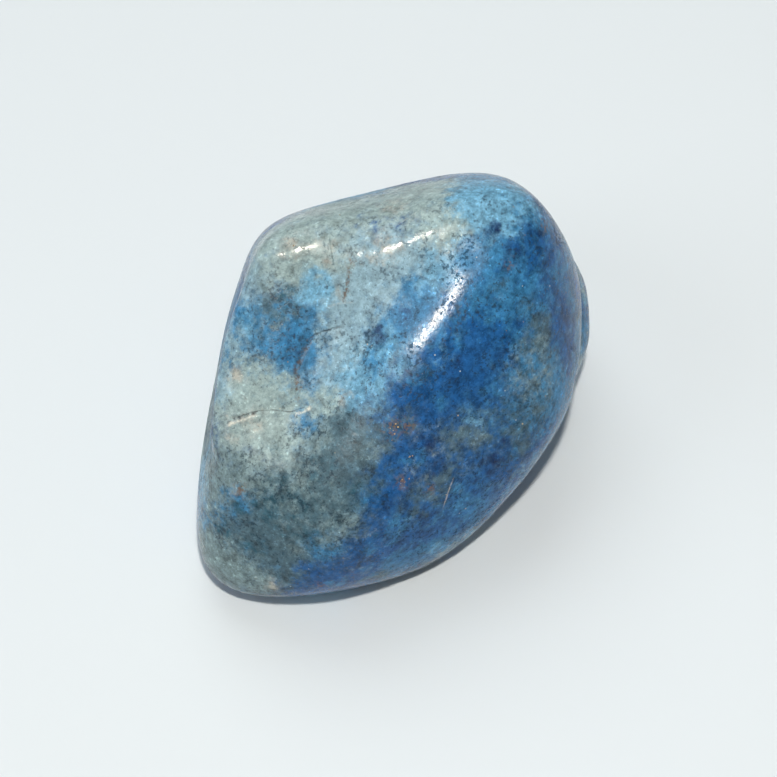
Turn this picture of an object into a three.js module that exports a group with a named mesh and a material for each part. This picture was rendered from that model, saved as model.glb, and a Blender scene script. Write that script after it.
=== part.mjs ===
// A tumbled lapis lazuli stone, lying on its flattest side: one piece of rock, worn
// smooth all round in a tumbling barrel. Millimetres, +Z up, the long axis along X.
// The origin is on the surface that the stone lies on, under the middle of its box.

import * as THREE from 'three';
import { mergeVertices } from 'three/addons/utils/BufferGeometryUtils.js';

// Driving dimensions
const RESTING_DEPTH = 9.8; // mm from the middle of the stone down to the face it lies on
const EDGE_SHARPNESS = 14; // how little the edges between the flats are rounded off
const MESH_DETAIL = 18; // the starting ball has 20 * (detail + 1)^2 triangles
const BALL_STRETCH = new THREE.Vector3(1.3, 1, 0.85); // keeps the triangles even on the stone

// A direction out of the middle of the stone: azimuth in degrees from +X towards +Y,
// and elevation in degrees above the level.
function direction(azimuth, elevation) {
  const around = THREE.MathUtils.degToRad(azimuth);
  const up = THREE.MathUtils.degToRad(elevation);
  return new THREE.Vector3(
    Math.cos(up) * Math.cos(around),
    Math.cos(up) * Math.sin(around),
    Math.sin(up),
  );
}

// The flats that tumbling has worn on the stone: which way each one faces, and how
// far it lies from the middle, in mm.
function flat(azimuth, elevation, distance) {
  return { facing: direction(azimuth, elevation), distance };
}

const FLATS = [
  // Round the waist of the stone, starting at its blunt back corner
  flat(109, 7, 14.3),
  flat(128, -4, 18),
  flat(169, -23, 23.2),
  flat(-139, -30, 15.7),
  flat(-112, -25, 15.6),
  flat(-90, -17, 13),
  flat(-61, -1, 15.1),
  flat(-27, 17, 18.1),
  flat(6, 28, 19.8),
  flat(47, 29, 15.5),
  flat(85, 19, 17.4),
  // Slopes up to the crown
  flat(50, 58, 17.2), // back flank
  flat(126, 21, 15.5), // narrow bevel at the back left
  flat(-168, 20, 15.8), // top of the low, rounded lobe
  flat(-119, 4, 12.4), // front
  flat(-81, 22, 14.2), // right flank
  flat(-121, 37, 11.5), // big dome in front of the main ridge
  flat(-159, 57, 12.1), // crown, in which the valley lies
  flat(-144, 62, 13), // top of the crown
  // Underside: a small worn flat, and the slopes that round it off
  flat(0, -90, 10.2),
  flat(75, -55, 11.6),
  flat(-80, -52, 12.2),
  flat(-10, -48, 13.6),
  flat(165, -62, 18),
];

// Hollows and swellings on the flats. Each follows a path over the surface, given as
// azimuth and elevation pairs, and fades out sideways over its reach. Both sizes are
// in mm, and a height below zero is a hollow.
const HOLLOWS_AND_SWELLINGS = [
  // A shallow valley from a dip in the back edge down to the lobe, deepest at its foot
  { path: [[59, 79], [131, 74], [146, 62], [158, 47], [164, 39]], reach: 3.8, height: -0.2 },
  { path: [[138, 69], [158, 48], [164, 34]], reach: 2.8, height: -1.3 },
  // Its bed, where two healed cracks left a crease
  { path: [[90, 76], [139, 71], [147, 58], [162, 44]], reach: 0.7, height: -0.15 },
  // A rounded corner and the edge below it, between the crown and the bevel
  { path: [[93, 59], [85, 59], [81, 63]], reach: 2.2, height: 0.6 },
  { path: [[104, 55], [117, 48], [128, 35], [149, 19]], reach: 1.2, height: 1 },
  // The main ridge, from the back edge down between the crown and the dome
  { path: [[-46, 69], [-90, 72], [-134, 63]], reach: 2.6, height: 0.35 },
  // The back edge of the crown, to the right of the valley
  { path: [[41, 78], [11, 75], [-4, 70]], reach: 1.5, height: 0.35 },
  // A dish between the back edge and the main ridge
  { path: [[-20, 78], [-25, 85]], reach: 3, height: -0.5 },
  // A small ledge above the pale face of the lobe
  { path: [[148, 22], [158, 35], [164, 40]], reach: 1, height: -0.2 },
  // A groove under the right-hand rim, and the lip that stands out below it
  { path: [[-54, -6], [-43, 0], [-32, 6]], reach: 1.8, height: -0.6 },
  { path: [[-35, -11], [-26, -6]], reach: 3, height: 1.1 },
  // Underside and hidden back: a broad dent and two low swellings
  { path: [[100, -42], [140, -38]], reach: 5, height: -0.8 },
  { path: [[20, -35]], reach: 6, height: 0.7 },
  { path: [[62, -8], [88, -14]], reach: 4.5, height: 0.5 },
];

// How far the flats lie from the middle along a direction. The nearest flat counts
// most, and the ones beside it round the edge between them.
function distanceToFlats(towards) {
  let sum = 0;
  for (const { facing, distance } of FLATS) {
    const share = Math.max(0, towards.dot(facing)) / distance;
    sum += share ** EDGE_SHARPNESS;
  }
  return sum ** (-1 / EDGE_SHARPNESS);
}

// The shortest way from a point to a path of straight stretches, or to its only point.
function distanceToPath(point, corners) {
  if (corners.length === 1) return point.distanceTo(corners[0]);
  const nearest = new THREE.Vector3();
  let shortest = Infinity;
  for (let i = 1; i < corners.length; i += 1) {
    const stretch = new THREE.Line3(corners[i - 1], corners[i]);
    stretch.closestPointToPoint(point, true, nearest);
    shortest = Math.min(shortest, nearest.distanceTo(point));
  }
  return shortest;
}

const MARKS = HOLLOWS_AND_SWELLINGS.map(({ path, reach, height }) => ({
  corners: path.map(([azimuth, elevation]) => {
    const towards = direction(azimuth, elevation);
    return towards.multiplyScalar(distanceToFlats(towards));
  }),
  reach,
  height,
}));

// The surface point of the stone along a direction, before it is set down.
function surfacePoint(towards) {
  const radius = distanceToFlats(towards);
  const onFlats = towards.clone().multiplyScalar(radius);
  let height = 0;
  for (const { corners, reach, height: markHeight } of MARKS) {
    height += markHeight * Math.exp(-((distanceToPath(onFlats, corners) / reach) ** 2));
  }
  const point = towards.clone().multiplyScalar(radius + height);
  if (point.z < -RESTING_DEPTH) point.multiplyScalar(-RESTING_DEPTH / point.z);
  return point;
}

function stoneGeometry() {
  const ball = new THREE.IcosahedronGeometry(1, MESH_DETAIL);
  ball.deleteAttribute('normal');
  ball.deleteAttribute('uv');
  const geometry = mergeVertices(ball);
  const positions = geometry.attributes.position;
  const towards = new THREE.Vector3();
  for (let i = 0; i < positions.count; i += 1) {
    towards.fromBufferAttribute(positions, i).multiply(BALL_STRETCH).normalize();
    const point = surfacePoint(towards);
    positions.setXYZ(i, point.x, point.y, point.z);
  }
  geometry.computeBoundingBox();
  const box = geometry.boundingBox;
  const middle = box.getCenter(new THREE.Vector3());
  geometry.translate(-middle.x, -middle.y, -box.min.z);
  geometry.computeVertexNormals();
  return geometry;
}

// Polished rock: blue lazurite with grey-green and pale patches
function polishedLapis() {
  return new THREE.MeshStandardMaterial({ color: 0x4a73a0, roughness: 0.22, metalness: 0 });
}

const stone = new THREE.Mesh(stoneGeometry(), polishedLapis());
stone.name = 'lapis_stone';

const part = new THREE.Group();
part.add(stone);

export default part;
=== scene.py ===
import math

import bmesh
import bpy
import numpy as np
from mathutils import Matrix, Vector, noise
from mathutils.bvhtree import BVHTree


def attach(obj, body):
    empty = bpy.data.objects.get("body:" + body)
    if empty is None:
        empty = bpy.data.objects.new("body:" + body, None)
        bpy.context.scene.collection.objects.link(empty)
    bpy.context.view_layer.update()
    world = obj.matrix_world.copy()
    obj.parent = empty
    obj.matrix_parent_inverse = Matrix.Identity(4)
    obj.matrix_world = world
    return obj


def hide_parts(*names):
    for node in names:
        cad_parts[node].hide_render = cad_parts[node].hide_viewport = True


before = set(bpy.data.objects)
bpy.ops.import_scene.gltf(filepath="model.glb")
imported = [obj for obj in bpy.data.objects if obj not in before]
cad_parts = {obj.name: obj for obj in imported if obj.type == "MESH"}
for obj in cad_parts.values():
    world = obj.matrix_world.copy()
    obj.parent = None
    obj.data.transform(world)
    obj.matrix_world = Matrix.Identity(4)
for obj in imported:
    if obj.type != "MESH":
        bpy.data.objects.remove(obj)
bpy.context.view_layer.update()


# The camera looks down on the front right of the stone from about 30 cm, so that the
# stone's blunt back corner is at the upper right of the picture. Sizes are in metres.
MM = 0.001
PICTURE_PIXELS = 777
VIEW_AZIMUTH = math.radians(-59)
VIEW_ELEVATION = math.radians(60)
VIEW_DISTANCE = 300 * MM
STONE_MIDDLE = Vector((-0.3, -1.7, 9.8)) * MM
MIDDLE_TO_THE_RIGHT = 0.52 * MM  # of the picture's centre
MIDDLE_ABOVE = 0.28 * MM
SENSOR_WIDTH = 36  # mm, as Blender takes this and the lens
LENS_LENGTH = 173.7

to_camera = Vector((
    math.sin(VIEW_AZIMUTH) * math.cos(VIEW_ELEVATION),
    -math.cos(VIEW_AZIMUTH) * math.cos(VIEW_ELEVATION),
    math.sin(VIEW_ELEVATION),
))
camera_right = Vector((math.cos(VIEW_AZIMUTH), math.sin(VIEW_AZIMUTH), 0))
camera_up = to_camera.cross(camera_right)
aside = -MIDDLE_TO_THE_RIGHT * camera_right - MIDDLE_ABOVE * camera_up
camera_place = STONE_MIDDLE + VIEW_DISTANCE * to_camera + aside

camera_data = bpy.data.cameras.new("camera")
camera_data.lens = LENS_LENGTH
camera_data.sensor_width = SENSOR_WIDTH
camera = bpy.data.objects.new("camera", camera_data)
bpy.context.scene.collection.objects.link(camera)
camera.location = camera_place
camera.rotation_mode = "QUATERNION"
camera.rotation_quaternion = to_camera.to_track_quat("Z", "Y")
bpy.context.scene.camera = camera


# The stone is one piece of lapis lazuli, blue lazurite grown through with grey-green,
# pale and rusty minerals and a little pyrite. A tumbling barrel has worn it smooth and
# polished it. It keeps a small ledge, healed cracks and fine pits.
class Wire:
    """One output of a node, which takes part in sums as a number does."""

    def __init__(self, tree, socket):
        self.tree = tree
        self.socket = socket

    def worked(self, operation, *values):
        return self.tree.node("ShaderNodeMath", {"operation": operation}, dict(enumerate(values)))

    def __add__(self, other):
        return self.worked("ADD", self, other)

    def __sub__(self, other):
        return self.worked("SUBTRACT", self, other)

    def __rsub__(self, other):
        return self.worked("SUBTRACT", other, self)

    def __mul__(self, other):
        return self.worked("MULTIPLY", self, other)

    def __truediv__(self, other):
        return self.worked("DIVIDE", self, other)

    def __rtruediv__(self, other):
        return self.worked("DIVIDE", other, self)

    def __pow__(self, other):
        return self.worked("POWER", self, other)

    def __rpow__(self, other):
        return self.worked("POWER", other, self)

    __radd__ = __add__
    __rmul__ = __mul__

    def raised(self):
        return self.worked("EXPONENT", self)

    def size(self):
        return self.worked("ABSOLUTE", self)

    def step(self, low, high):
        """0 below low and 1 above high, with a soft change between them."""
        limits = {"Value": self, "From Min": low, "From Max": high}
        return self.tree.node("ShaderNodeMapRange", {"interpolation_type": "SMOOTHSTEP"}, limits)


class Tree:
    """A tree of nodes, for the shape of the stone's skin or for its finish."""

    def __init__(self, node_tree):
        self.nodes = node_tree.nodes
        self.links = node_tree.links

    def node(self, kind, settings=None, values=None, output=0):
        """Make a node, and give one of its outputs if it has any."""
        made = self.nodes.new(kind)
        for name, setting in (settings or {}).items():
            setattr(made, name, setting)
        for name, value in (values or {}).items():
            if isinstance(value, Wire):
                self.links.new(value.socket, made.inputs[name])
            else:
                made.inputs[name].default_value = value
        return Wire(self, made.outputs[output]) if len(made.outputs) else None

    def vector(self, operation, output=0, **values):
        order = {"a": 0, "b": 1, "scale": "Scale"}
        sockets = {order[name]: value for name, value in values.items()}
        return self.node("ShaderNodeVectorMath", {"operation": operation}, sockets, output)

    def blend(self, share, first, second):
        """A colour that goes from the first to the second as the share goes from 0 to 1."""
        sockets = {0: share, 6: first, 7: second}
        return self.node("ShaderNodeMix", {"data_type": "RGBA"}, sockets, output=2)


# The skin: the worn flats are made finer, rounded, and given gentle waves and pits
SKIN_SIZES = [
    ("Seed", "NodeSocketInt", 4),
    ("Dividing", "NodeSocketInt", 2),
    ("Smoothing", "NodeSocketInt", 14),
    ("Levelling", "NodeSocketInt", 90),
    ("Wave length", "NodeSocketFloat", 4.5 * MM),
    ("Wave height", "NodeSocketFloat", 0.06 * MM),
    ("Pit spacing", "NodeSocketFloat", 1.6 * MM),
    ("Pit width", "NodeSocketFloat", 0.3 * MM),
    ("Pit depth", "NodeSocketFloat", 0.03 * MM),
    ("Pit share", "NodeSocketFloat", 0.3),
    ("Resting depth", "NodeSocketFloat", 1.2 * MM),
]
SEED_SHIFT = 10  # mm, from one seed's waves and pits to the next one's


def skin_tree():
    node_tree = bpy.data.node_groups.new("worn skin", "GeometryNodeTree")
    sockets = node_tree.interface
    sockets.new_socket("Stone", in_out="INPUT", socket_type="NodeSocketGeometry")
    for name, kind, _ in SKIN_SIZES:
        sockets.new_socket(name, in_out="INPUT", socket_type=kind)
    sockets.new_socket("Finish", in_out="INPUT", socket_type="NodeSocketMaterial")
    sockets.new_socket("Stone", in_out="OUTPUT", socket_type="NodeSocketGeometry")
    tree = Tree(node_tree)
    names = ["Stone", *(name for name, _, _ in SKIN_SIZES), "Finish"]
    given = {name: tree.node("NodeGroupInput", output=name) for name in names}

    finer = tree.node(
        "GeometryNodeSubdivideMesh", values={"Mesh": given["Stone"], "Level": given["Dividing"]}
    )
    place = tree.node("GeometryNodeInputPosition")
    rounded = tree.node(
        "GeometryNodeBlurAttribute",
        {"data_type": "FLOAT_VECTOR"},
        {"Value": place, "Iterations": given["Smoothing"]},
    )
    smooth = tree.node(
        "GeometryNodeSetPosition", values={"Geometry": finer, "Position": rounded}
    )

    levelled = tree.node(
        "GeometryNodeBlurAttribute",
        {"data_type": "FLOAT_VECTOR"},
        {"Value": place, "Iterations": given["Levelling"]},
    )
    outwards = tree.node("GeometryNodeInputNormal")
    above = tree.vector("SUBTRACT", a=place, b=levelled)
    rise = tree.vector("DOT_PRODUCT", output=1, a=above, b=outwards)
    marked = tree.node(
        "GeometryNodeStoreNamedAttribute",
        {"data_type": "FLOAT", "domain": "POINT"},
        {"Geometry": smooth, "Name": "rise", "Value": rise / MM},
    )

    start = tree.vector("ADD", a=place, b=given["Seed"] * SEED_SHIFT * MM)
    wave = tree.node(
        "ShaderNodeTexNoise", values={"Vector": start, "Scale": 1 / given["Wave length"], "Detail": 1}
    )
    waves = (wave - 0.5) * given["Wave height"] * 2
    cell_values = {"Vector": start, "Scale": 1 / given["Pit spacing"]}
    pit_distance = tree.node("ShaderNodeTexVoronoi", values=cell_values) * given["Pit spacing"]
    cell_colour = tree.node("ShaderNodeTexVoronoi", values=cell_values, output=1)
    chance = tree.node("ShaderNodeSeparateXYZ", values={"Vector": cell_colour})
    is_pit = chance.worked("LESS_THAN", chance, given["Pit share"])
    hollow = 1 - (pit_distance / given["Pit width"]).step(0, 1)
    height = waves - hollow * is_pit * given["Pit depth"]
    level = tree.node("ShaderNodeSeparateXYZ", values={"Vector": place}, output=2)
    off_the_rest = (level / given["Resting depth"]).step(0, 1)
    offset = tree.vector("SCALE", a=outwards, scale=height * off_the_rest)
    skin = tree.node("GeometryNodeSetPosition", values={"Geometry": marked, "Offset": offset})
    whole = tree.node("GeometryNodeRealizeInstances", values={"Geometry": skin})
    finished = tree.node(
        "GeometryNodeSetMaterial", values={"Geometry": whole, "Material": given["Finish"]}
    )
    tree.node("NodeGroupOutput", values={"Stone": finished})
    return node_tree


JOINING_DISTANCE = 0.001 * MM


def merged_copy(node):
    """A copy of a node's mesh with its loose triangles joined."""
    shape = bmesh.new()
    shape.from_mesh(node.data)
    shape.transform(node.matrix_world)
    bmesh.ops.remove_doubles(shape, verts=shape.verts, dist=JOINING_DISTANCE)
    for face in shape.faces:
        face.smooth = True
    mesh = bpy.data.meshes.new("stone_skin")
    shape.to_mesh(mesh)
    shape.free()
    return mesh


polished_lapis = bpy.data.materials.new("polished_lapis")
stone = bpy.data.objects.new("lapis_skin", merged_copy(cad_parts["lapis_stone"]))
bpy.context.scene.collection.objects.link(stone)
skin = stone.modifiers.new("skin", "NODES")
skin.node_group = skin_tree()
identifiers = {item.name: item.identifier for item in skin.node_group.interface.items_tree}
for name, _, value in SKIN_SIZES:
    skin[identifiers[name]] = value
skin[identifiers["Finish"]] = polished_lapis
evaluated = stone.evaluated_get(bpy.context.evaluated_depsgraph_get())
stone_mesh = bpy.data.meshes.new_from_object(evaluated)
stone.modifiers.clear()
stone.data = stone_mesh

# Places on the stone are pixels of the picture, columns and rows, where the camera sees
# them, or azimuth and elevation from the stone's middle, in degrees, where it doesn't
FOCAL_PIXELS = LENS_LENGTH / SENSOR_WIDTH * PICTURE_PIXELS


def as_array(vectors):
    return np.array([tuple(vector) for vector in vectors], float)


points = as_array(vertex.co for vertex in stone_mesh.vertices)
normals = as_array(vertex.normal for vertex in stone_mesh.vertices)
surface = BVHTree.FromPolygons(
    [vertex.co for vertex in stone_mesh.vertices],
    [tuple(face.vertices) for face in stone_mesh.polygons],
)


def seen_at(column, row):
    """The point of the stone that a pixel of the picture shows."""
    along_right = (column - PICTURE_PIXELS / 2) * camera_right
    along_up = (PICTURE_PIXELS / 2 - row) * camera_up
    ray = along_right + along_up - FOCAL_PIXELS * to_camera
    hit = surface.ray_cast(camera_place, ray.normalized())[0]
    if hit is None:
        raise ValueError(f"pixel {column}, {row} is beside the stone")
    return np.array(hit)


def facing(azimuth, elevation):
    """The point of the stone along a direction out of its middle."""
    around = math.radians(azimuth)
    up = math.radians(elevation)
    level = math.cos(up)
    ray = Vector((level * math.cos(around), level * math.sin(around), math.sin(up)))
    return np.array(surface.ray_cast(STONE_MIDDLE, ray)[0])


def across_path(corners):
    """How far each vertex is from a path over the stone, and how much of that is to its left."""
    distance = np.full(len(points), np.inf)
    to_left = np.zeros(len(points))
    for start, end in zip(corners, corners[1:]):
        stretch = end - start
        along = np.clip((points - start) @ stretch / (stretch @ stretch), 0, 1)
        away = points - start - along[:, None] * stretch
        left = np.cross((start + end) / 2 - np.array(STONE_MIDDLE), stretch)
        left /= np.linalg.norm(left)
        length = np.linalg.norm(away, axis=1)
        nearer = length < distance
        distance[nearer] = length[nearer]
        to_left[nearer] = (away @ left)[nearer]
    past_the_end = np.sqrt(np.maximum(distance**2 - to_left**2, 0))
    return distance, to_left, past_the_end


# Fine relief: each line runs along a path and has furrows and swells beside it, given
# as the distance to its left, the reach and the height in mm
FINE_RELIEF = [
    # the ledge above the pale face: a furrow, and the lip below it
    ([(231, 424), (240, 418), (258, 412), (275, 409), (291, 411), (306, 409)],
     [(0.08, 0.16, -0.07), (-0.2, 0.26, 0.05)]),
    ([(231, 426), (243, 421), (258, 415)], [(-0.05, 0.25, 0.13)]),
    # the crests of the back edge and of the corner
    ([(360, 256), (382, 251), (412, 233), (446, 213)], [(0, 2, 0.32)]),
    ([(284, 249), (302, 241), (320, 234)], [(0, 1.6, 0.24)]),
    # creases along the cracks in the valley
    ([(352, 258), (351, 275), (345, 296)], [(0, 0.2, -0.03)]),
    ([(336, 327), (312, 336), (298, 360), (296, 396)], [(0, 0.25, -0.04)]),
]
for path, swells in FINE_RELIEF:
    _, to_left, past_the_end = across_path([seen_at(*place) for place in path])
    for left, reach, height in swells:
        spread = ((to_left - left * MM) ** 2 + past_the_end**2) / (reach * MM) ** 2
        points += normals * (height * MM * np.exp(-spread))[:, None]
points[:, 2] = np.maximum(points[:, 2], 0)
stone_mesh.vertices.foreach_set("co", points.astype(np.float32).ravel())
stone_mesh.update()

# The minerals: their colours, and where each one is gathered, as places with a radius in
# pixels. A place that comes more than once weighs more. Between these patches and on the
# hidden sides, slow noise deals the minerals out. The lilac is partly painted sheen.
MINERALS = {
    "pale": (0.33, 0.43, 0.42),
    "warm": (0.44, 0.43, 0.37),
    # partly a pale blue mineral, partly painted sheen
    "lilac_and_painted_sheen": (0.29, 0.44, 0.51),
    "azure": (0.17, 0.39, 0.55),
    "sky": (0.045, 0.2, 0.38),
    "royal": (0.012, 0.088, 0.26),
    "navy": (0.008, 0.028, 0.1),
    "moss": (0.077, 0.138, 0.17),
    "silver": (0.19, 0.27, 0.28),
    "teal": (0.02, 0.082, 0.12),
}
COMMON_SHARES = {"pale": 0.1, "azure": 0.12, "sky": 0.3, "royal": 0.3, "moss": 0.16, "silver": 0.08}
PATCHES = {
    "pale": [
        (300, 260, 30), (440, 230, 20), (325, 400, 15), (260, 420, 35), (255, 400, 30),
        (260, 268, 12), (275, 234, 22), (310, 214, 22), (350, 205, 22), (395, 194, 22),
        (270, 435, 25), (330, 215, 30), (400, 205, 25), (340, 262, 16), (430, 190, 18),
    ],
    # the valley's right wall and the left edge: pale blue mineral with painted sheen
    "lilac_and_painted_sheen": [
        (362, 275, 30), (400, 262, 25), (350, 318, 24), (335, 360, 22), (374, 300, 20),
        (233, 332, 14), (226, 385, 13), (245, 290, 12), (251, 272, 18),
    ],
    "warm": [
        (247, 424, 16), (235, 375, 9), (297, 244, 14), (330, 255, 10), (385, 250, 14),
        (290, 520, 5),
        (235, 490, 6), (345, 395, 8), (395, 205, 12), (340, 292, 6), (268, 585, 8),
    ],
    "azure": [
        (314, 287, 14), (314, 287, 12), (316, 288, 11), (316, 290, 9), (528, 206, 14),
        (440, 265, 22), (430, 285, 14), (500, 205, 28), (470, 200, 20),
        (385, 345, 22), (350, 378, 20), (475, 418, 13), (465, 190, 18), (242, 320, 12),
        (405, 522, 7), (440, 545, 8), (585, 298, 9),
    ],
    "sky": [
        (285, 330, 30), (235, 310, 20), (300, 350, 25), (400, 330, 25), (480, 290, 25),
        (520, 300, 15), (430, 310, 25), (305, 425, 14), (530, 215, 15), (440, 545, 15),
        (410, 300, 22), (480, 262, 20),
        (505, 322, 8), (530, 366, 8), (455, 347, 8), (512, 455, 8), (432, 522, 8), (396, 518, 9),
        (441, 402, 8), (490, 392, 8), (418, 458, 8), (336, 582, 9), (370, 545, 8), (462, 500, 9),
        (518, 385, 42), (462, 505, 30), (535, 290, 38), (400, 560, 26), (548, 228, 12),
        (560, 265, 12),
        (412, 374, 12), (240, 498, 14), (560, 400, 12), (572, 300, 10), (578, 335, 8),
        (396, 532, 12), (324, 548, 17), (362, 500, 10), (585, 322, 11), (585, 338, 10),
        (374, 360, 11),
    ],
    "royal": [
        (480, 340, 45), (460, 380, 40), (420, 440, 30), (400, 530, 40), (440, 520, 30),
        (480, 470, 45), (560, 320, 25), (550, 290, 20), (540, 250, 30), (350, 560, 25),
        (320, 575, 20), (385, 490, 25), (500, 390, 30), (578, 285, 14), (584, 312, 12),
        (570, 350, 15), (420, 400, 18),
    ],
    "navy": [
        (378, 333, 11), (378, 333, 9), (404, 316, 8), (404, 316, 6), (493, 230, 8), (513, 252, 8),
        (545, 268, 12),
        (538, 232, 10), (410, 370, 10), (425, 445, 12), (490, 467, 14), (388, 500, 9),
        (352, 560, 9), (395, 545, 9), (565, 320, 8), (290, 340, 9), (295, 355, 8),
        (455, 362, 6), (476, 322, 6), (500, 352, 6), (438, 470, 8), (468, 410, 6), (520, 330, 6),
        (430, 515, 7), (505, 440, 7),
    ],
    "moss": [
        (540, 325, 17), (541, 345, 17), (335, 495, 38), (290, 518, 36), (255, 530, 28),
        (350, 470, 28), (350, 440, 22), (405, 425, 12), (435, 487, 12), (525, 410, 25),
        (280, 560, 30), (460, 440, 14),
        (502, 290, 9), (522, 440, 10), (452, 468, 9), (446, 432, 10), (500, 372, 8), (268, 302, 12),
        (378, 575, 10), (528, 300, 9), (300, 312, 9), (538, 332, 14), (480, 430, 30),
        (430, 500, 26),
    ],
    "silver": [
        (225, 560, 35), (245, 580, 20), (215, 480, 25), (240, 470, 25),
        (255, 278, 12), (300, 262, 14), (318, 438, 14), (368, 455, 12), (342, 522, 12),
        (292, 548, 12), (330, 540, 12), (300, 478, 9), (275, 500, 8),
        (300, 500, 36), (541, 338, 14), (528, 378, 26), (272, 320, 14), (470, 437, 13),
    ],
    "teal": [
        (255, 545, 11), (265, 505, 12), (312, 470, 10), (276, 451, 7), (326, 466, 12),
        (240, 510, 8),
        (290, 510, 34), (352, 492, 9), (318, 540, 10), (225, 530, 8), (290, 300, 8), (276, 312, 8),
    ],
}
PATCH_EDGE_WANDER = 0.7 * MM
PATCH_EDGE_SCALE = 1.6 * MM
PATCH_EDGE_OCTAVES = 3
PATCH_EDGE_SEED = 4
COMMON_WEIGHT = 0.16
HIDDEN_PATCH_SCALE = 6 * MM
HIDDEN_PATCH_CONTRAST = 6
HIDDEN_PATCH_SHIFT = Vector((7, 3, 0))  # from one mineral's noise to the next


def nearness(places, middle, radius):
    """1 in the middle of a spot, fading past its radius, which is in pixels."""
    spread = np.sum((places - middle) ** 2, axis=1)
    return np.exp(-spread / (radius * pixel_size) ** 2)


def store(name, values):
    """Keep a value for each vertex, which the finish reads by its name."""
    attribute = stone_mesh.attributes.new(name, "FLOAT", "POINT")
    attribute.data.foreach_set("value", values.astype(np.float32))


noise.seed_set(PATCH_EDGE_SEED)
wander = as_array(
    noise.turbulence_vector(Vector(point) / PATCH_EDGE_SCALE, PATCH_EDGE_OCTAVES, False)
    for point in points
)
wandered = points + PATCH_EDGE_WANDER * wander
pixel_size = VIEW_DISTANCE / FOCAL_PIXELS
gathered = {}
for mineral, patches in PATCHES.items():
    gathered[mineral] = np.zeros(len(points))
    for column, row, radius in patches:
        gathered[mineral] += nearness(wandered, seen_at(column, row), radius)
dealt = {}
for number, (mineral, share) in enumerate(COMMON_SHARES.items()):
    shift = number * HIDDEN_PATCH_SHIFT
    slow = np.array([noise.noise(Vector(point) / HIDDEN_PATCH_SCALE + shift) for point in points])
    dealt[mineral] = share * np.exp(HIDDEN_PATCH_CONTRAST * slow)
all_dealt = sum(dealt.values())
all_gathered = sum(gathered.values())
for mineral in MINERALS:
    common = COMMON_WEIGHT * dealt.get(mineral, 0) / all_dealt
    store(mineral, (gathered[mineral] + common) / (all_gathered + COMMON_WEIGHT))

# Healed cracks, mineral threads and painted highlights: the path, half its width in mm,
# and how dark, how rusty and how pale it is. The two pale lines below the ledge are
# painted highlights.
CRACKS = [
    ([(351, 256), (350, 275), (345, 297)], 0.12, 0.45, 0.9, 0),
    ([(331, 241), (334, 262)], 0.04, 0.6, 0, 0),
    ([(337, 327), (325, 331), (312, 336)], 0.06, 0.6, 0.2, 0),
    ([(312, 336), (303, 352), (296, 368), (297, 397)], 0.12, 0.55, 0.5, 0),
    ([(331, 306), (340, 303), (349, 303)], 0.05, 0, 0, 0.25),
    ([(452, 482), (448, 492), (444, 505)], 0.05, 0, 0.3, 0.5),
    ([(236, 419), (246, 415), (257, 412)], 0.08, 1, 0.3, 0),
    ([(258, 411), (275, 410), (290, 412), (303, 408)], 0.04, 0.4, 0.2, 0),
    # painted highlights: the bright line on the ledge's lip, and a small spot beside it
    ([(231, 424), (241, 420), (252, 416)], 0.13, 0, 0, 1),
    ([(298, 413), (308, 409)], 0.12, 0, 0, 1),
    ([(400, 226), (420, 212)], 0.03, 0, 0, 0.5),
    ([(405, 229), (428, 214)], 0.03, 0, 0, 0.4),
]
HIDDEN_CRACKS = [
    ([(40, 20), (52, 8), (58, -8), (70, -20)], 0.1, 0.5, 0.5, 0),
    ([(95, 30), (104, 14), (100, -4)], 0.06, 0.6, 0.2, 0),
    ([(128, -8), (143, -14), (160, -12)], 0.06, 0.1, 0.3, 0.6),
    ([(15, 5), (22, -10)], 0.05, 0, 0.3, 0.7),
    ([(-60, -60), (0, -72), (60, -60)], 0.09, 0.5, 0.5, 0),
]
lines_on_stone = [([seen_at(*place) for place in path], *look) for path, *look in CRACKS]
lines_on_stone += [([facing(*place) for place in path], *look) for path, *look in HIDDEN_CRACKS]
CRACK_END = 0.3 * MM  # over which a crack fades past its ends
FAR_FROM_CRACKS = 99.0  # half widths
closest = np.full(len(points), np.inf)
cracked = {
    "crack_across": np.full(len(points), FAR_FROM_CRACKS),
    "crack_dark": np.zeros(len(points)),
    "crack_rust": np.zeros(len(points)),
    "crack_pale_and_painted_highlight": np.zeros(len(points)),
}
for path, half_width, dark, rust, pale in lines_on_stone:
    distance, to_left, past_the_end = across_path(path)
    nearer = distance < closest
    closest = np.where(nearer, distance, closest)
    fading = np.exp(-(past_the_end / CRACK_END) ** 2)
    here = {
        "crack_across": to_left / (half_width * MM),
        "crack_dark": dark * fading,
        "crack_rust": rust * fading,
        "crack_pale_and_painted_highlight": pale * fading,
    }
    for name, values in here.items():
        cracked[name] = np.where(nearer, values, cracked[name])
for name, values in cracked.items():
    store(name, values)

# Pyrite, the rust round it, soft spots that took less of the polish, and crests that took
# more, each as a place with a radius in pixels
PYRITE = [(392, 429, 5), (404, 481, 4), (410, 455, 3), (381, 204, 3), (446, 496, 3), (345, 560, 4)]
HIDDEN_PYRITE = [(65, 12, 5), (30, -5, 4), (118, -12, 5), (150, -30, 4), (-20, -40, 4)]
RUST = [
    (392, 429, 10), (402, 482, 8), (352, 262, 6), (297, 385, 6), (545, 225, 8), (510, 265, 5),
    (350, 575, 5), (430, 490, 6), (408, 425, 8), (240, 490, 8), (320, 585, 6),
]
HIDDEN_RUST = [(65, 12, 10), (35, 0, 8), (110, 8, 8), (150, -30, 10), (85, -25, 8), (-20, -40, 8)]
DULL = [
    (336, 245, 16), (348, 248, 10), (264, 442, 24), (405, 277, 22), (430, 262, 18), (470, 262, 13),
    (298, 395, 12), (455, 240, 12), (403, 364, 12), (463, 257, 12),
]
POLISHED = [
    (364, 254, 8), (382, 251, 8), (397, 243, 10), (412, 234, 10), (428, 225, 10), (441, 218, 8),
    (284, 249, 8), (292, 244, 10), (306, 239, 10), (316, 235, 8), (245, 421, 9),
]


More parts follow.
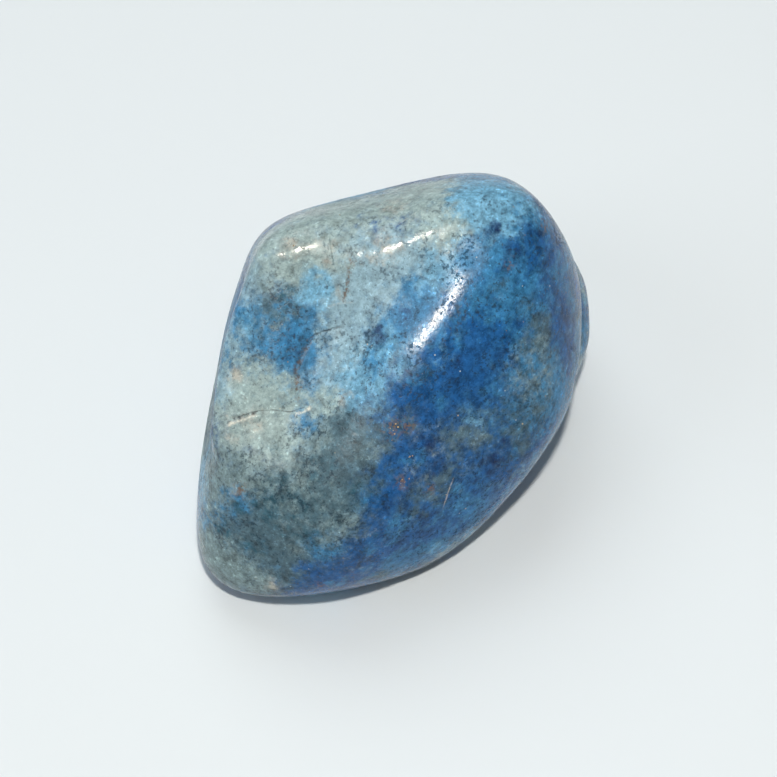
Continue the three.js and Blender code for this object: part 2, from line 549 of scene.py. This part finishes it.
def gather(places, hidden_places=()):
    """How near each vertex is to the nearest of the places."""
    spots = [(seen_at(column, row), radius) for column, row, radius in places]
    spots += [(facing(azimuth, up), radius) for azimuth, up, radius in hidden_places]
    total = np.zeros(len(points))
    for middle, radius in spots:
        total = np.maximum(total, nearness(points, middle, radius))
    return total


store("pyrite", gather(PYRITE, HIDDEN_PYRITE))
store("rust", gather(RUST, HIDDEN_RUST))
store("dull", gather(DULL))
store("polished", gather(POLISHED))


# The finish: mottled minerals, dark and pale grains, cracks, rust and pyrite, with painted
# highlights below the ledge and painted glints, under a polish that is a little less even on
# the grains. A pair of numbers is where a mark starts and where it is full.
PATTERN_SHIFT = (0.1, 0.07, 0.03)  # metres, from one pattern to the next
CHANNELS = 3  # of a coloured noise, one for each mineral's own mottling
MOTTLE_SIZE = 0.9 * MM
MINERAL_CONTRAST = 1.5
MOTTLE_STRENGTH = 12
CLOUD_SIZE = 0.7 * MM
CLOUD_STRENGTH = 3.2
PALE_CALM = 0.35
GRAIN_SIZE = 0.3 * MM
CROWD_SIZE = 2 * MM
DARK_CROWDING = 0.5
LIGHT_CROWDING = 0.4
DARK_GRAINS = (0.56, 0.68)
LIGHT_GRAINS = (0.6, 0.75)
DARK_GRAIN_STRENGTH = 0.68
LIGHT_GRAIN_STRENGTH = 0.8
CRACK_FADE = (0, 2)  # half widths to either side
CRACK_WIGGLE = 3  # half widths
CRACK_WIGGLE_SIZE = 0.5 * MM
BREAK_SIZE = 0.3 * MM
CRACK_BREAKS = (0.42, 0.58)
CRACK_FAINTEST = 0.35
RUST_BREAKS = (0.45, 0.62)
RUST_STRENGTH = 0.8
FLECK_SIZE = 0.22 * MM
FLECK_EDGE = (0.15, 0.38)
PALE_GRAIN_AND_PAINTED_GLINT_CHANCE = (0.997, 0.999)
PALE_GRAIN_AND_PAINTED_GLINT_STRENGTH = 0.8
PYRITE_CHANCE = (0.997, 1.0)
PYRITE_GATHERING = 0.6
MARK_COLOURS = {
    "dark grain": (0.01, 0.03, 0.05, 1),
    # pale threads, and the painted highlights below the ledge
    "pale thread and painted highlight": (0.85, 0.82, 0.7, 1),
    "rusty crack": (0.28, 0.18, 0.11, 1),
    "dark crack": (0.02, 0.03, 0.04, 1),
    "rust": (0.2, 0.12, 0.07, 1),
    # pale grains, partly painted glints of the polish
    "pale grain and painted glint": (0.6, 0.68, 0.66, 1),
    "pyrite": (0.75, 0.55, 0.28, 1),
}

# The polish, as roughness: what wear, grains, unevenness and the gathered spots change
ROUGHNESS = 0.4
CREST_RISE = (0.02, 0.08)  # mm above the stone's general shape
CREST_SMOOTHER = 0.18
GRAIN_ROUGHER = 0.22
POLISH_GRAIN_SIZE = 0.25 * MM
POLISH_UNEVENNESS = 0.3
DULL_ROUGHER = 0.35
POLISHED_SMOOTHER = 0.14
REFRACTION = 1.45
GLOSS = 0.2

# Relief that is finer than the mesh, in steps
RELIEF_STEP = 0.01 * MM
GRAIN_RELIEF_SIZE = 0.2 * MM
BROAD_RELIEF_SIZE = 1.2 * MM
BROAD_RELIEF = 2
SUNKEN_GRAINS = 0.7
FURROW_DEPTH = 9  # along the darkest cracks
FURROW_EDGE = (0, 1.8)  # half widths of the crack to either side
FURROW_WIGGLE = 0.3  # of the crack's own


def lapis_finish(material):
    material.use_nodes = True
    tree = Tree(material.node_tree)
    shader = material.node_tree.nodes["Principled BSDF"]
    place = tree.node("ShaderNodeTexCoord", output=3)

    def attribute(name):
        return tree.node("ShaderNodeAttribute", {"attribute_name": name}, output=2)

    def shifted(pattern):
        """The place on the stone, moved by a pattern's number so that no two agree."""
        return tree.vector("ADD", a=place, b=tuple(pattern * part for part in PATTERN_SHIFT))

    def grain(pattern, size, detail=2, rough=0.5, output=0):
        values = {"Vector": shifted(pattern), "Scale": 1 / size, "Detail": detail, "Roughness": rough}
        return tree.node("ShaderNodeTexNoise", values=values, output=output)

    # Each mineral's share of the mix, from its patches and its own mottling
    shares = []
    for number, (mineral, colour) in enumerate(MINERALS.items()):
        channel = number % CHANNELS
        if channel == 0:
            mottling = grain(number + 1, MOTTLE_SIZE, detail=6, rough=0.72, output=1)
        own = tree.node("ShaderNodeSeparateColor", values={"Color": mottling}, output=channel)
        weight = attribute(mineral) ** MINERAL_CONTRAST
        shares.append((weight * ((own - 0.5) * MOTTLE_STRENGTH).raised(), colour))
    whole = shares[0][0]
    colour = tree.vector("SCALE", a=shares[0][1], scale=shares[0][0])
    for share, mineral_colour in shares[1:]:
        whole = whole + share
        colour = tree.vector("ADD", a=colour, b=tree.vector("SCALE", a=mineral_colour, scale=share))
    colour = tree.vector("SCALE", a=colour, scale=1 / whole)

    # Grains, which show less in the pale minerals
    calm = attribute("pale") + attribute("lilac_and_painted_sheen") + attribute("warm")
    lively = 1 - calm * PALE_CALM
    cloud = grain(22, CLOUD_SIZE, detail=5, rough=0.75)
    colour = tree.vector("SCALE", a=colour, scale=1 + (cloud - 0.5) * lively * CLOUD_STRENGTH)
    crowd = grain(23, CROWD_SIZE, detail=3, rough=0.6) - 0.5
    dark_noise = grain(20, GRAIN_SIZE, detail=3, rough=0.65) + crowd * DARK_CROWDING
    light_noise = grain(21, GRAIN_SIZE, detail=3, rough=0.65) - crowd * LIGHT_CROWDING
    dark = dark_noise.step(*DARK_GRAINS)
    light = light_noise.step(*LIGHT_GRAINS)
    colour = tree.blend(dark * lively * DARK_GRAIN_STRENGTH, colour, MARK_COLOURS["dark grain"])
    colour = tree.vector("SCALE", a=colour, scale=1 + light * lively * LIGHT_GRAIN_STRENGTH)

    # Cracks, mineral threads, painted highlights below the ledge, and rust
    wiggle = (grain(30, CRACK_WIGGLE_SIZE) - 0.5) * CRACK_WIGGLE
    line = 1 - (attribute("crack_across") + wiggle).size().step(*CRACK_FADE)
    broken = grain(31, BREAK_SIZE, detail=3, rough=0.65).step(*CRACK_BREAKS)
    shown = line * (broken * (1 - CRACK_FAINTEST) + CRACK_FAINTEST)
    rusted = attribute("rust") * grain(32, BREAK_SIZE, detail=3, rough=0.6).step(*RUST_BREAKS)
    marks = {
        # pale threads, and painted highlights below the ledge
        "pale thread and painted highlight": shown * attribute("crack_pale_and_painted_highlight"),
        "rusty crack": line * broken * attribute("crack_rust"),
        "dark crack": shown * attribute("crack_dark"),
        "rust": rusted * RUST_STRENGTH,
    }

    # Flecks: pale grains with painted glints, and pyrite, by chance in the cells of a fine pattern
    cell = {"Vector": shifted(40), "Scale": 1 / FLECK_SIZE}
    within = 1 - tree.node("ShaderNodeTexVoronoi", values=cell).step(*FLECK_EDGE)
    chance = tree.node("ShaderNodeTexVoronoi", values=cell, output=1)
    first = tree.node("ShaderNodeSeparateColor", values={"Color": chance})
    second = tree.node("ShaderNodeSeparateColor", values={"Color": chance}, output=1)
    pyrite = within * (second + attribute("pyrite") * PYRITE_GATHERING).step(*PYRITE_CHANCE)
    # pale grains, partly painted glints
    marks["pale grain and painted glint"] = within * first.step(*PALE_GRAIN_AND_PAINTED_GLINT_CHANCE) * PALE_GRAIN_AND_PAINTED_GLINT_STRENGTH
    marks["pyrite"] = pyrite
    for mark, share in marks.items():
        colour = tree.blend(share, colour, MARK_COLOURS[mark])

    # The polish, and the relief that is too fine for the mesh
    worn = attribute("rise").step(*CREST_RISE)
    uneven = grain(50, POLISH_GRAIN_SIZE) - 0.5
    roughness = ROUGHNESS - worn * CREST_SMOOTHER + dark * GRAIN_ROUGHER + uneven * POLISH_UNEVENNESS
    roughness = roughness + attribute("dull") * DULL_ROUGHER - attribute("polished") * POLISHED_SMOOTHER
    furrow = 1 - (attribute("crack_across") + wiggle * FURROW_WIGGLE).size().step(*FURROW_EDGE)
    relief = grain(51, GRAIN_RELIEF_SIZE, rough=0.6)
    relief = relief + grain(52, BROAD_RELIEF_SIZE, detail=1) * BROAD_RELIEF - dark * SUNKEN_GRAINS
    relief = relief - furrow * attribute("crack_dark") * FURROW_DEPTH
    bump = tree.node("ShaderNodeBump", values={"Distance": RELIEF_STEP, "Height": relief})

    varying = {"Base Color": colour, "Metallic": pyrite, "Roughness": roughness, "Normal": bump}
    for name, wire in varying.items():
        tree.links.new(wire.socket, shader.inputs[name])
    shader.inputs["IOR"].default_value = REFRACTION
    shader.inputs["Specular IOR Level"].default_value = GLOSS


lapis_finish(polished_lapis)
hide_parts("lapis_stone")
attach(stone, "root")


# A sheet of pale paper on a table. A flash close to the camera makes highlights alone,
# and a key lamp above it makes light and shadow alone. A window is on the left, and a
# broad soft light behind.
FLOOR_SIDE = 2000 * MM
PAPER_COLOUR = (0.785, 0.83, 0.85, 1)
PAPER_ROUGHNESS = 0.9
PAPER_GLOSS = 0.2
floor_half = FLOOR_SIDE / 2
floor_corners = [
    (-floor_half, -floor_half, 0), (floor_half, -floor_half, 0),
    (floor_half, floor_half, 0), (-floor_half, floor_half, 0),
]
floor_mesh = bpy.data.meshes.new("floor")
floor_mesh.from_pydata(floor_corners, [], [(0, 1, 2, 3)])
floor = bpy.data.objects.new("floor", floor_mesh)
bpy.context.scene.collection.objects.link(floor)
paper = bpy.data.materials.new("pale_paper")
paper.use_nodes = True
paper_shader = paper.node_tree.nodes["Principled BSDF"]
paper_shader.inputs["Base Color"].default_value = PAPER_COLOUR
paper_shader.inputs["Roughness"].default_value = PAPER_ROUGHNESS
paper_shader.inputs["Specular IOR Level"].default_value = PAPER_GLOSS
floor_mesh.materials.append(paper)


def picture_direction(tilt, angle):
    """A direction tilted from the view towards an angle in the picture, 0 right and 90 up."""
    tilt = math.radians(tilt)
    angle = math.radians(angle)
    aside = math.cos(angle) * camera_right + math.sin(angle) * camera_up
    return math.cos(tilt) * to_camera + math.sin(tilt) * aside


# name, tilt from the view, angle in the picture, distance, width, power, colour, and
# whether it lights surfaces and whether it makes highlights
LAMPS = [
    ("flash", 5.6, 120, 450 * MM, 12 * MM, 2.3, (1, 0.91, 0.78), False, True),
    ("key", 12.5, 84, 450 * MM, 24 * MM, 1.34, (1, 0.96, 0.9), True, False),
    ("window", 50, 168, 900 * MM, 600 * MM, 1.15, (0.88, 0.95, 1), True, True),
    ("skylight", 62, 100, 1200 * MM, 900 * MM, 4.4, (0.88, 0.95, 1), True, True),
]
for name, tilt, angle, distance, width, power, colour, lights, shines in LAMPS:
    lamp_data = bpy.data.lights.new(name, "AREA")
    lamp_data.shape = "DISK"
    lamp_data.size = width
    lamp_data.energy = power
    lamp_data.color = colour
    lamp = bpy.data.objects.new(name, lamp_data)
    bpy.context.scene.collection.objects.link(lamp)
    direction = picture_direction(tilt, angle)
    lamp.location = STONE_MIDDLE + distance * direction
    lamp.rotation_mode = "QUATERNION"
    lamp.rotation_quaternion = direction.to_track_quat("Z", "Y")
    lamp.visible_diffuse = lights
    lamp.visible_glossy = shines

ROOM_COLOUR = (0.9, 0.95, 1, 1)
ROOM_STRENGTH = 0.18
room = bpy.data.worlds.new("room")
room.use_nodes = True
background = room.node_tree.nodes["Background"]
background.inputs["Color"].default_value = ROOM_COLOUR
background.inputs["Strength"].default_value = ROOM_STRENGTH
bpy.context.scene.world = room
bpy.context.scene.view_settings.view_transform = "Standard"
